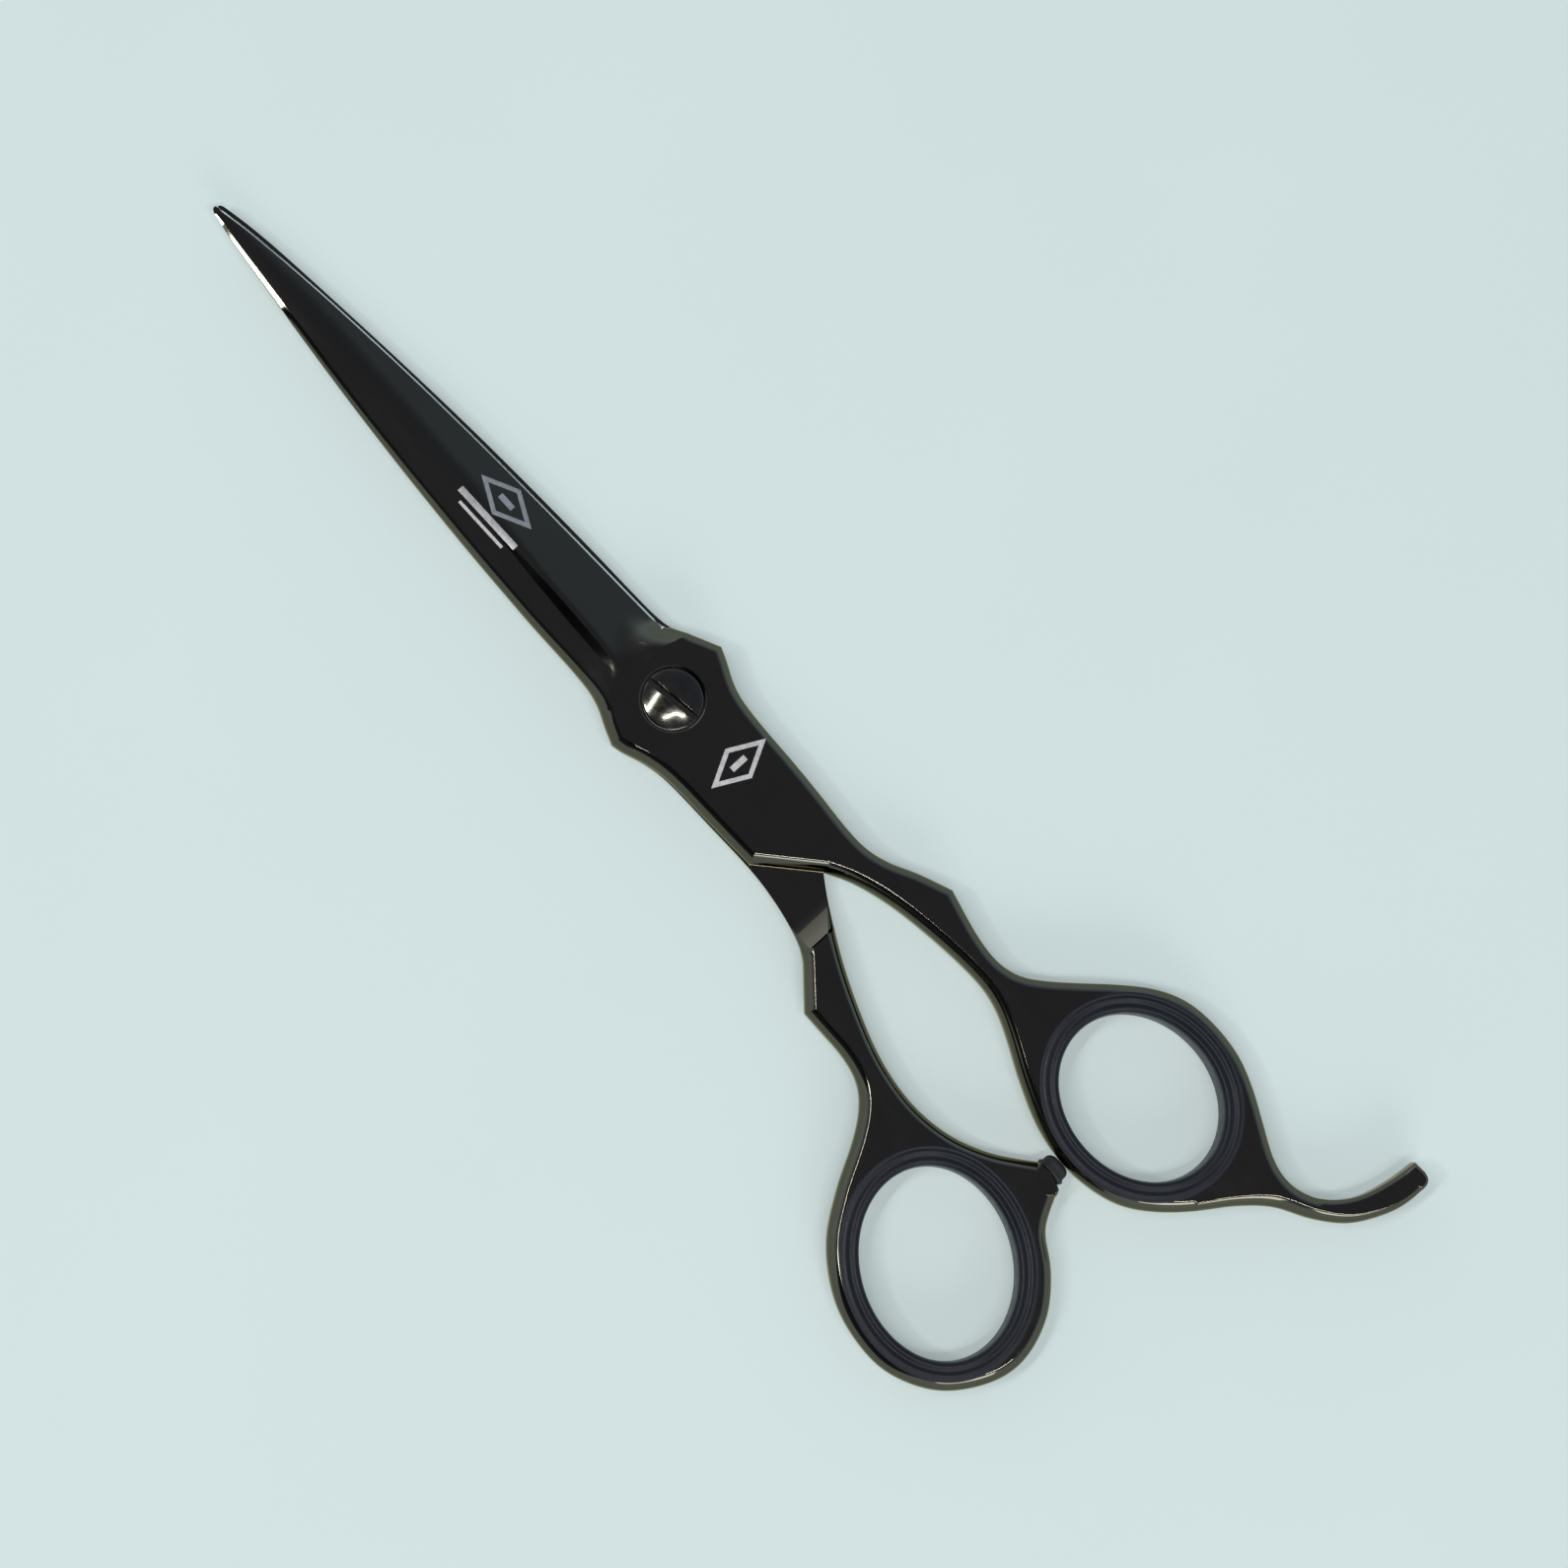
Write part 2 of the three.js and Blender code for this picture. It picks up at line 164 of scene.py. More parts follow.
class Surface:
    """One closed mesh in the making. Faces are smooth within a group and creased between groups."""

    def __init__(self):
        self.points, self.faces, self.groups, self.slots = [], [], [], []
        self.matched = {}

    def add(self, xy, z):
        """Adds points and gives their numbers."""
        first = len(self.points)
        heights = np.broadcast_to(z, len(xy))
        self.points += [(x, y, h) for (x, y), h in zip(xy, heights)]
        return list(range(first, len(self.points)))

    def face(self, corners, group, slot=0):
        corners = tuple(dict.fromkeys(corners))
        if len(corners) > 2:
            self.faces.append(corners)
            self.groups.append(group)
            self.slots.append(slot)

    def strip(self, low, high, group, slot=0, closed=False):
        """Quads between two rows. They face right of the rows' direction if high is above low."""
        n = len(low)
        for i in range(n if closed else n - 1):
            j = (i + 1) % n
            self.face((low[i], low[j], high[j], high[i]), group, slot)

    def fill(self, loop, holes, group, up=True):
        """Fills a loop, less its holes, with faces that look up or down."""
        rows = [loop, *holes]
        numbers = [i for row in rows for i in row]
        flat = np.array([p[:2] for p in self.points])
        edges, start = [], 0
        for row in rows:
            n = len(row)
            edges += [(start + i, start + (i + 1) % n) for i in range(n)]
            start += n
        made = delaunay_2d_cdt([Vector(flat[i]) for i in numbers], edges, [], 0, 1e-6)
        corners = [[numbers[made[3][v][0]] for v in triangle] for triangle in made[2]]
        middles = np.array([flat[c].mean(0) for c in corners])
        kept = inside(middles, flat[loop])
        for hole in holes:
            kept &= ~inside(middles, flat[hole])
        for c, keep in zip(corners, kept):
            if keep:
                (x0, y0), (x1, y1), (x2, y2) = flat[c]
                turns_left = (x1 - x0) * (y2 - y0) - (x2 - x0) * (y1 - y0) > 0
                self.face(c if turns_left == up else c[::-1], group)

    def match(self, points, group, other):
        """Gives a group, at some points, the shading normal that another group has there."""
        self.matched.update({(p, group): other for p in points})

    def finish(self, name, materials, place=upright):
        """The finished object. place turns the points into the row frame, in metres."""
        points = place(np.array(self.points, float))
        mesh = bpy.data.meshes.new(name)
        mesh.from_pydata(points.tolist(), [], self.faces)
        totals = {}
        for face, group in zip(self.faces, self.groups):
            p = points[list(face)]
            area = np.cross(p, np.roll(p, -1, axis=0)).sum(0)
            for i in face:
                totals[i, group] = totals.get((i, group), 0) + area
        normals = []
        for face, group in zip(self.faces, self.groups):
            for i in face:
                normals.append(totals.get((i, self.matched.get((i, group), group)), totals[i, group]))
        normals = np.array(normals)
        lengths = np.maximum(np.linalg.norm(normals, axis=1), 1e-20)[:, None]
        mesh.shade_smooth()
        mesh.normals_split_custom_set((normals / lengths).tolist())
        for material in materials:
            mesh.materials.append(material)
        mesh.polygons.foreach_set("material_index", self.slots)
        made = bpy.data.objects.new(name, mesh)
        bpy.context.scene.collection.objects.link(made)
        return made


def lathe(s, parts, count=TURNED):
    """Turns a profile about the pivot axis: parts of (radius, height), each smooth, creased between."""
    rows, groups = [], []
    for number, part in enumerate(parts):
        for i, (radius, z) in enumerate(part):
            if number and not i:
                continue
            if radius == 0:
                rows.append(s.add([(0, 0)], z) * count)
            else:
                rows.append(s.add(circle(radius, count), z))
            groups.append(number)
    if parts[0][0] == parts[-1][-1]:
        rows[-1] = rows[0]
    for i in range(len(rows) - 1):
        s.strip(rows[i], rows[i + 1], ("turned", groups[i + 1]), closed=True)


# ---------------------------------------------------------------- the two halves

UPPER = {
    "edge": [
        spline([(79.3, 0.1), (75, -0.72), (70, -1.42), (65, -2.0), (60, -2.5), (50, -3.33), (40, -3.95),
                (30, -4.4), (20, -4.75), (11, -5.03), (8.4, -5.15), (7.3, -5.35), (6.4, -5.9)]),
        [(6.4, -5.9), (0.75, -8.65)],
    ],
    "outside": [
        spline([(0.75, -8.65), (-1.2, -7.85), (-3.5, -6.75), (-6, -6.15), (-10, -5.87), (-15, -5.72),
                (-20, -5.45), (-25, -5.08), (-28.5, -5.2), (-31.5, -6.1), (-34.5, -7.65), (-38.8, -9.4)],
               relax=12),
        spline([(-38.8, -9.4), (-41.5, -8.7), (-45, -7.9), (-48.5, -7.6), (-51.5, -8.35), (-54, -10.2),
                (-57, -13.1), (-60, -16.15), (-63.5, -19.2), (-67.3, -21.1), (-71.8, -21.65),
                (-76.3, -21.2), (-80.3, -19.75), (-84, -17.9), (-88, -15.95), (-91.5, -15.5),
                (-95, -16.9), (-97.7, -20.2), (-99, -24.6), (-99.4, -28.1)], relax=16),
        [(-99.4, -28.1), (-101.1, -28.2)],
        spline([(-101.1, -28.2), (-101.9, -27.95), (-102.4, -27.3), (-102.5, -26.4)], 0.15),
    ],
    "inside": [
        spline([(-102.5, -26.4), (-102.5, -25), (-101.9, -22), (-99.6, -17.6), (-96, -14.5),
                (-92, -12.2), (-88.8, -8.85), (-86, -4.9), (-83, -1.5), (-79.6, 1.1), (-75.5, 2.45),
                (-71, 2.8), (-66, 2), (-60.5, -0.15), (-56, -2.35), (-52.3, -3.8), (-48.5, -4.3),
                (-42, -3.85), (-35.5, -2.85), (-30.5, -1.35), (-27, 0.45)], relax=16),
        [(-27, 0.45), (-20.35, 6.35)],
        spline([(-20.35, 6.35), (-14, 6.5), (-8.5, 6.6), (-5.5, 6.85), (-3, 7.5), (-0.5, 8.5),
                (0.9, 8.75)], relax=8),
    ],
    "back": [
        spline([(0.9, 8.75), (3, 7.95), (5.2, 7.0), (7.5, 6.45), (11, 6.25), (16, 6.22), (20, 6.14),
                (30, 5.75), (40, 5.15), (50, 4.35), (60, 3.35), (70, 2.2), (75, 1.6), (78.8, 0.95)]),
    ],
    "tip": spline([(78.8, 0.95), (79.3, 0.72), (79.45, 0.4), (79.3, 0.1)], 0.1),
    "ring": {"x": -71.8, "y": -9.2, "a": 10.65, "b": 8.9, "tilt": 0},
    "hole": [(4.02, 6.0), (3.88, 5.93), (3.88, 4.5), (2.72, 4.5), (2.72, RIDE + FACE_GAP)],
}

LOWER = {
    "edge": [
        spline([(79.1, -0.15), (75, -0.95), (70, -1.6), (60, -2.75), (50, -3.7), (40, -4.5), (30, -5.1),
                (20, -5.5), (11, -5.7), (8.4, -5.85), (6.6, -6.2)]),
        spline([(6.6, -6.2), (3, -7.85), (0.9, -8.75)], relax=2),
    ],
    "outside": [
        spline([(0.9, -8.75), (-0.5, -8.4), (-3, -7.5), (-5.5, -6.9), (-8.5, -6.68), (-14, -6.6),
                (-20, -6.52), (-24, -6.75), (-28, -7.4), (-31.4, -8.35), (-33.2, -9.4)], relax=8),
        [(-33.2, -9.4), (-37.7, -13.35)],
        spline([(-37.7, -13.35), (-41, -13.4), (-44.5, -13.5), (-47.8, -14.3), (-50.3, -16.2),
                (-52.6, -19.4), (-55.5, -24.7), (-59.3, -29.8), (-65, -33.6), (-71, -34.95),
                (-76, -34.4), (-81, -31.5), (-84.3, -26.5), (-85.05, -21.7), (-83.2, -16.4),
                (-79.5, -12.3), (-75.8, -9.85), (-74.2, -7.4), (-73.2, -5.35)], relax=14),
        spline([(-73.2, -5.35), (-72, -4.85), (-70.6, -4.6), (-69.1, -4.8)], 0.2),
    ],
    "inside": [
        spline([(-69.1, -4.8), (-67, -6.5), (-64, -8.55), (-59.5, -10.45), (-54, -11.15), (-48, -10.35),
                (-42, -8.35), (-36, -5.7), (-30, -2.35), (-27, -0.35)], relax=12),
        [(-27, -0.35), (-20.4, 5.3)],
        spline([(-20.4, 5.3), (-14, 5.65), (-8.5, 5.9), (-5.5, 6.2), (-3, 7.0), (-0.5, 8.15),
                (0.75, 8.65)], relax=8),
    ],
    "back": [
        spline([(0.75, 8.65), (3.4, 7.3), (6.4, 5.95), (9, 5.5), (13, 5.35), (20, 5.2), (30, 4.85),
                (40, 4.35), (50, 3.65), (60, 2.8), (70, 1.85), (75, 1.2), (78.7, 0.5)]),
    ],
    "tip": spline([(78.7, 0.5), (79.1, 0.3), (79.25, 0.05), (79.1, -0.15)], 0.1),
    "ring": {"x": -69.8, "y": -21.7, "a": 11.5, "b": 9.15, "tilt": 28},
    "hole": [(1.95, 6.0), (1.66, 5.7), (1.66, RIDE + FACE_GAP)],
}

TOP = 2 * RIDE
TOP_FALL = 0.0045  # the handles thin by this much per mm towards their ends
HANDLE_LOW = 0.5
SEAT = 1.1  # a ring's hole is this much larger than the hole in its rubber
SEAT_BREAK = 0.15  # width of the bevel round it

RAMP_START = -28.9
RAMP_LENGTH = 3.6
RAMP_RADIUS = 8.8
RAMP_ENTRY = math.sin(math.radians(15))  # of its slope where it starts
RAMP_STEP = 0.2  # length of the steep end of the ramp
RAMP_DEPTH = 2.4  # the sides have a handle's shape where the underside is this far below the ride plane

BLADE_ROOT = 4.15  # the flat top ends here and the ground blade begins
HEEL, HEEL_RUN = 11, 0.03  # where the edge flares, and how much it nears the spine per mm before that
MAIN_SLOPE = 0.38  # of the facet from the cutting edge to the ridge
SECOND_SLOPE = 0.115  # of the narrow facet from there to the crease
SPINE_SLOPE = 0.03  # of the facet along the spine
EDGE_HEIGHT = 0.27  # top of the honed bevel above the ride plane
BEVEL, TIP_BEVEL = 0.22, 0.12  # width of the honed bevel
HONED_FADE, HONED_FROM = (6.3, 7.6), 7  # x range in which the bevel fades in, and where its bare steel starts
LAND = 0.55  # width of the flat land on each side of the hollow inner face
HOLLOW, HOLLOW_FADE = 0.1, (9, 14)  # depth of that hollow, and the x range in which it fades in

STEEPNESS = (1.0, 1.8)  # of a shoulder that faces -y or +y in the row frame: a round one has 1
SHOULDER_END = math.radians(13)  # a shoulder meets the flat face at this angle
SPINE_END = math.radians(30)  # but along the spine it meets the face at this one, with a crisp edge
CHAMFER_SLOPE = 0.33  # of the flat bevel that takes its place near the tip
SPINE_FADE, CHAMFER_FADE = (-1.5, 0.5), (62.5, 64.5)  # x ranges in which those two fade in
CORNER = 20  # degrees between two sides that meet in a crease
FLANK_STEPS = 11
ACROSS = 12  # cells from the crease to the spine, half as many as from the cutting edge to the crease

BLADE_STATIONS = np.concatenate([
    np.arange(BLADE_ROOT, 9, 0.18), np.arange(9.2, 77, 0.8), np.arange(77, 78.5, 0.28),
])
RAMP_STATIONS = RAMP_START - np.append(np.linspace(0, RAMP_LENGTH, 13), RAMP_LENGTH + RAMP_STEP)


def top_plane(x):
    return TOP + TOP_FALL * np.minimum(x - BLADE_ROOT, 0)


def low_height(x):
    """Height of the underside: the ride face, then the hollow ramp down to the handle's full thickness."""
    reach = np.clip(RAMP_START - x, 0, RAMP_LENGTH)
    slope = RAMP_ENTRY + np.array([0 * reach, reach]) / RAMP_RADIUS
    entry, here = RAMP_RADIUS * np.sqrt(1 - slope**2)
    arc = RIDE + FACE_GAP - (entry - here)
    step = np.clip((RAMP_START - RAMP_LENGTH - x) / RAMP_STEP, 0, 1)
    return arc + (HANDLE_LOW - arc) * step


def ridge_y(x):
    """Where the main facet ends."""
    xs = [4, 6, 8, 10, 15, 20, 25, 30, 40, 50, 60, 79]
    ys = [2.6, 2.3, 1.95, 1.68, 1.45, 1.35, 1.2, 1.05, 0.7, 0.35, 0.15, 0.3]
    return rounded(x, xs, ys, 1)


def crease_y(x):
    """Where the second facet gives way to the flatter facet along the spine."""
    xs = [4, 6, 10, 15, 20, 25, 40, 60, 79]
    ys = [2.7, 2.85, 3.0, 2.85, 2.6, 2.3, 1.75, 1.0, 0.6]
    return rounded(x, xs, ys, 1)


def ground_height(x, y, edge):
    """Height of the ground outer face: main facet, soft ridge, second facet, crease and spine facet."""
    base = RIDE + EDGE_HEIGHT - (edge + BEVEL) * MAIN_SLOPE
    ridge, crease = ridge_y(x), crease_y(x)
    main = base + y * MAIN_SLOPE
    drop = rounded(x, [5.5, 9.5, 26, 34], [SPINE_SLOPE, SECOND_SLOPE, SECOND_SLOPE, SPINE_SLOPE], 1)
    second = base + ridge * MAIN_SLOPE - (y - ridge) * drop
    at_crease = base + ridge * MAIN_SLOPE - (crease - ridge) * drop
    spine = at_crease - (y - crease) * SPINE_SLOPE
    soft = rounded(x, [4, 8, 20, 32, 60, 79], [0.06, 0.12, 0.15, 0.6, 0.6, 0.35], 2)
    ground = smooth_min(main, np.maximum(second, spine), soft) + soft / 8
    ground = np.maximum(ground, RIDE + EDGE_HEIGHT)
    # The grind runs out into the boss: crisply by the edge and the spine, and softly between.
    blend = 0.6
    start = rounded(y, [-7, -4.5, -3, 0, 2.9, 4.2, 6], [4.2, 5.0, 5.3, 4.7, 4.5, 4.3, 4.2], blend)
    length = rounded(y, [-6.5, -4.5, -2, 1.5, 3, 4.4, 6], [3.4, 4, 5.6, 4.8, 3.4, 1, 0.7], blend)
    crisp = smooth_step(-y, 2.2, 5) + smooth_step(y, 3.3, 4.6)
    t = np.clip((x - start) / length, 0, 1)
    run_out = (1 - (1 - t) ** 1.5) * crisp + smooth_step(t, 0, 1) * (1 - crisp)
    return TOP - np.maximum(TOP - ground, 0) * run_out


def outer_height(x, y, edge_line):
    """Height of the outer face, flat or ground. The grind ignores the flare of the edge at the heel."""
    edge = np.interp(np.maximum(x, HEEL), edge_line[:, 0], edge_line[:, 1])
    edge = edge + HEEL_RUN * np.minimum(x - HEEL, 0)
    return np.where(x > BLADE_ROOT, ground_height(x, y, edge), top_plane(x))


def flank(width, height, steepness=STEEPNESS[1], end=SHOULDER_END, chamfered=0):
    """(distance in, height) up a side: from its widest line, up a steep wall and over a shoulder.

    The shoulder meets the flat face at the angle end. As chamfered goes from 0 to 1, a flat bevel takes
    the shoulder's place.
    """
    lean = np.linspace(math.pi / 2, end, FLANK_STEPS)  # of the shoulder's normal from z
    rise = min(steepness * width * math.cos(end) / (1 - math.sin(end)), 0.85 * height)
    draft = min(0.03 * (height - rise), 0.2 * width)
    across = draft + (width - draft) * (1 - np.sin(lean)) / (1 - math.sin(end))
    up = height - rise + rise * np.cos(lean) / math.cos(end)
    shoulder = np.column_stack([across, up])
    along = np.linspace(0, 1, FLANK_STEPS)[:, None]
    bevel = (width, height) - (1 - along) * (width - draft, (width - draft) * CHAMFER_SLOPE)
    return np.vstack([(0, 0), shoulder + (bevel - shoulder) * chamfered])


def side_width(x, y, is_back):
    """How far the rounded side reaches in from the outline."""
    if x > BLADE_ROOT:
        return np.interp(x, [4, 9, 60, 77, 79], [1.25, 1.0, 0.7, 0.35, 0.12])
    if x < -86 and is_back:
        return np.interp(x, [-102.6, -99, -92, -86], [0.8, 1.1, 1.4, 1.0])
    if x < -95:
        return np.interp(x, [-102, -99, -95], [0.5, 0.6, 0.9])
    if x < -68.5 and -6 < y < -3 and not is_back:
        return 0.35
    return 1.3


def plan_outline(plan):
    """The outline, anticlockwise, and which of its points are on the spine's side."""
    first = chain(plan["edge"] + plan["outside"])
    second = chain(plan["inside"] + plan["back"])
    for xs in (BLADE_STATIONS, RAMP_STATIONS):
        first, second = at_stations(first, xs), at_stations(second, xs)
    line = np.vstack([first[:-1], second[:-1], plan["tip"][:-1]])
    is_back = np.arange(len(line)) >= len(first) - 1
    return line[::-1], is_back[::-1]


def inward_offsets(outline):
    """For each point of an outline, its mitred way in for 1 mm of width, and whether it is a corner."""
    ahead = np.roll(outline, -1, axis=0) - outline
    ahead /= np.linalg.norm(ahead, axis=1)[:, None]
    behind = np.roll(ahead, 1, axis=0)
    turn = (ahead * behind).sum(1)
    total = ahead + behind
    mitre = np.column_stack([-total[:, 1], total[:, 0]]) / (1 + turn)[:, None]
    # A station keeps its x, so that rows across the blade and the ramp are straight.
    x = outline[:, 0]
    keeps_x = np.where(x > 0, smooth_step(x, 1.5, BLADE_ROOT) * (x < 78.5), 0)
    keeps_x += smooth_step(x, -35.5, -32.8) * smooth_step(-x, 26.2, 28.8)
    upward = mitre[:, 1] / np.linalg.norm(mitre, axis=1)
    straight = np.column_stack([0 * x, 1 / np.where(np.abs(upward) > 0.3, upward, 1)])
    offsets = mitre + (straight - mitre) * keeps_x[:, None]
    corner = np.degrees(np.arccos(np.clip(turn, -1, 1))) > CORNER
    # The points beside a corner lean its way, so that the inner line doesn't fold over itself.
    for c in np.flatnonzero(corner):
        span = 1.8 if x[c] < 70 else 0.22
        for way in (-1, 1):
            k, reach = c, 0
            while reach < span:
                following = (k + way) % len(outline)
                reach += np.linalg.norm(outline[following] - outline[k])
                k = following
                if corner[k]:
                    break
                leaning = mitre[c] / (mitre[c] @ mitre[k]) * np.linalg.norm(mitre[k])
                offsets[k] += (leaning - offsets[k]) * (1 - smooth_step(reach, 0, span))
    return offsets, corner


def half(name, plan, place, materials):
    """A blade, shank and ring in one piece, with its outer face up."""
    outline, is_back = plan_outline(plan)
    n = len(outline)
    offsets, corner = inward_offsets(outline)
    xs = outline[:, 0]
    edge_line = outline[~is_back & (xs > 0)]
    s = Surface()

    columns = []
    for (x, y), back, offset in zip(outline, is_back, offsets):
        honed = smooth_step(x, *HONED_FADE) * (not back)
        low = low_height(x)
        handle = min(1, (RIDE - low) / RAMP_DEPTH) if low < RIDE else 0
        middle = RIDE + 0.1 * (1 - handle) - 0.06 * honed
        bevel_width = np.interp(x, [78.4, 79], [BEVEL, TIP_BEVEL])
        width = side_width(x, y, back) * (1 - honed) + bevel_width * honed
        inner = (x, y) + offset * width
        height = float(outer_height(*inner, edge_line)) - middle
        bevel = np.linspace(0, 1, FLANK_STEPS + 1)[:, None] * (width, height)
        towards_y = -offset[1] / np.linalg.norm(offset) * (-1 if place is turned_over else 1)
        steepness = np.interp(towards_y, [-0.4, 0.4], STEEPNESS)
        end = SHOULDER_END + (SPINE_END - SHOULDER_END) * smooth_step(x, *SPINE_FADE) * back
        chamfered = smooth_step(x, *CHAMFER_FADE) * back
        upper = flank(width, height, steepness, end, chamfered) * (1 - honed) + bevel * honed
        lower = flank(0.05 + (width - 0.05) * handle, middle - low)[:0:-1]
        profile = np.concatenate([lower * (1, -1), upper])
        columns.append(s.add((x, y) + offset * profile[:, :1], middle + profile[:, 1]))
    top, under = [c[-1] for c in columns], [c[0] for c in columns]

    def numbers(stations, back):
        return [int(np.flatnonzero((np.abs(xs - x) < 1e-9) & (is_back == back))[0]) for x in stations]

    edge_at, back_at = numbers(BLADE_STATIONS, False), numbers(BLADE_STATIONS, True)
    ramp_edge, ramp_back = numbers(RAMP_STATIONS, False), numbers(RAMP_STATIONS, True)

    # The sides, in one smooth stretch between each two corners.
    stretch = np.cumsum(corner)
    stretch[stretch == stretch[-1]] = 0
    for k in range(n):
        j = (k + 1) % n
        group = ("side", int(stretch[k]))
        is_honed = not is_back[k] and xs[k] > HONED_FROM and not is_back[j]
        for i in range(2 * FLANK_STEPS):
            bevelled = is_honed and i >= FLANK_STEPS
            corners = (columns[k][i], columns[j][i], columns[j][i + 1], columns[k][i + 1])
            s.face(corners, "bevel" if bevelled else group, 1 if bevelled else 0)
        in_handle = ramp_back[-1] <= k < ramp_edge[-1]
        if not (is_back[k] and xs[k] > SPINE_FADE[0]):
            s.match((top[k], top[j]), group, "top")
        s.match((under[k], under[j]), group, "handle" if in_handle else "under")

    # The ground face, the hollow inner face of the blade, and both faces of the tip.
    to_crease = 1 - (1 - np.linspace(0, 1, 2 * ACROSS + 1)[1:]) ** 1.3
    from_crease = np.linspace(0, 1, ACROSS + 1)[1:-1] ** 1.6
    hollow_shape = np.sin(np.linspace(0, math.pi, ACROSS + 1)) ** 0.8
    over, beneath = [], []
    for x, e, b in zip(BLADE_STATIONS, edge_at, back_at):
        y0, y1 = s.points[top[e]][1], s.points[top[b]][1]
        share = np.clip((crease_y(x) - y0) / (y1 - y0), 0.2, 0.85)
        t = np.concatenate([share * to_crease, share + (1 - share) * from_crease])
        xy = np.column_stack([np.full(len(t), x), y0 + (y1 - y0) * t])
        over.append([top[e], *s.add(xy, outer_height(*xy.T, edge_line)), top[b]])
        y0, y1 = s.points[under[e]][1], s.points[under[b]][1]
        land = min(LAND, 0.25 * (y1 - y0)) / (y1 - y0)
        t = np.linspace(land, 1 - land, ACROSS + 1)
        hollow = min(HOLLOW, 0.02 * (y1 - y0)) * smooth_step(x, *HOLLOW_FADE)
        xy = np.column_stack([np.full(len(t), x), y0 + (y1 - y0) * t])
        beneath.append([under[e], *s.add(xy, RIDE + FACE_GAP + hollow * hollow_shape), under[b]])
    for row, following in zip(over, over[1:]):
        s.strip(following, row, "top")
    for row, following in zip(beneath, beneath[1:]):
        s.strip(row[:2], following[:2], "under", 1 if s.points[row[0]][0] > HONED_FROM else 0)
        s.strip(row[1:], following[1:], "under")
    tip = [*range(edge_at[-1], n), *range(back_at[-1] + 1)]
    s.fill([top[i] for i in tip] + over[-1][-2:0:-1], [], "top")
    s.fill([under[i] for i in tip] + beneath[-1][-2:0:-1], [], "under", up=False)

    # The ring's hole, the pivot's hole and the flat faces that they go through.
    ring_rows = []
    for grow, drop, z in ((SEAT + SEAT_BREAK, 0, None), (SEAT, SEAT_BREAK, None),
                          (SEAT, 0, HANDLE_LOW + SEAT_BREAK), (SEAT + SEAT_BREAK, 0, HANDLE_LOW)):
        xy = ellipse(plan["ring"], grow)
        ring_rows.append(s.add(xy, top_plane(xy[:, 0]) - drop if z is None else z))
    pivot_rows = [s.add(circle(r), z) for r, z in plan["hole"]]
    for i, row in enumerate(ring_rows[:-1]):
        s.strip(row, ring_rows[i + 1], ("ring", i), closed=True)
    for i, row in enumerate(pivot_rows[:-1]):
        s.strip(row, pivot_rows[i + 1], ("pivot", i), closed=True)
    body = range(back_at[0], edge_at[0] + 1)
    s.fill([top[i] for i in body] + over[0][1:-1], [ring_rows[0], pivot_rows[0]], "top")
    ride = [*range(back_at[0], ramp_back[0] + 1), *range(ramp_edge[0], edge_at[0] + 1)]
    s.fill([under[i] for i in ride] + beneath[0][1:-1], [pivot_rows[-1]], "under", up=False)
    for i in range(len(RAMP_STATIONS) - 1):
        near = (under[ramp_edge[i]], under[ramp_back[i]])
        far = (under[ramp_edge[i + 1]], under[ramp_back[i + 1]])
        s.strip(far, near, "under" if i < len(RAMP_STATIONS) - 2 else "step")
    handle = range(ramp_back[-1], ramp_edge[-1] + 1)
    s.fill([under[i] for i in handle], [ring_rows[-1]], "handle", up=False)
    return s.finish(name, materials, place)


# ---------------------------------------------------------------- rubber, screw, bush and washer

INSERT_TOP = [
    (0.0, 3.0), (0.02, 4.2), (0.07, 5.1), (0.2, 5.6), (0.42, 5.87), (0.62, 5.95), (0.84, 5.9),
    (1.08, 5.77), (1.32, 5.77), (1.52, 5.9), (1.72, 5.97), (1.92, 5.92), (2.06, 5.86), (2.22, 5.89),
    (2.38, 5.9), (2.48, 5.84), (2.52, 5.76),
]
INSERT_WEB = 1.05
LIP = 2.48  # reach of its lips
LIP_UNDER, LOW_LIP_TOP = 5.725, 0.475  # where the lips lie on the ring


def ring_insert(name, ring, place, material):
    """A rubber ring round the ellipse of its hole: a web with a rounded, grooved lip over each face."""
    section = spline(INSERT_TOP, 0.09, relax=2)
    top_lip = [(LIP, LIP_UNDER), (INSERT_WEB, LIP_UNDER)]
    low_lip = [(INSERT_WEB, LOW_LIP_TOP), (LIP, LOW_LIP_TOP)]
    bottom = section[::-1][:-1] * (1, -1) + (0, 2 * RIDE)
    s = Surface()
    profile = [*section, *top_lip, *low_lip, *bottom]
    rows = [s.add(ellipse(ring, grow), z) for grow, z in profile]
    for i, row in enumerate(rows):
        hidden = len(section) <= i < len(section) + 4
        s.strip(rows[(i + 1) % len(rows)], row, ("back", i) if hidden else "skin", closed=True)
    return s.finish(name, [material], place)


def curved(start, end, bulge, steps=10):
    """Points along an arc-like line from start to end, pushed to its right by bulge."""
    start, end = np.array(start, float), np.array(end, float)
    along = end - start
    out = np.array([along[1], -along[0]]) / np.linalg.norm(along)
    t = np.linspace(0, 1, steps + 1)[:, None]
    return [tuple(p) for p in start + along * t + out * 4 * bulge * t * (1 - t)]


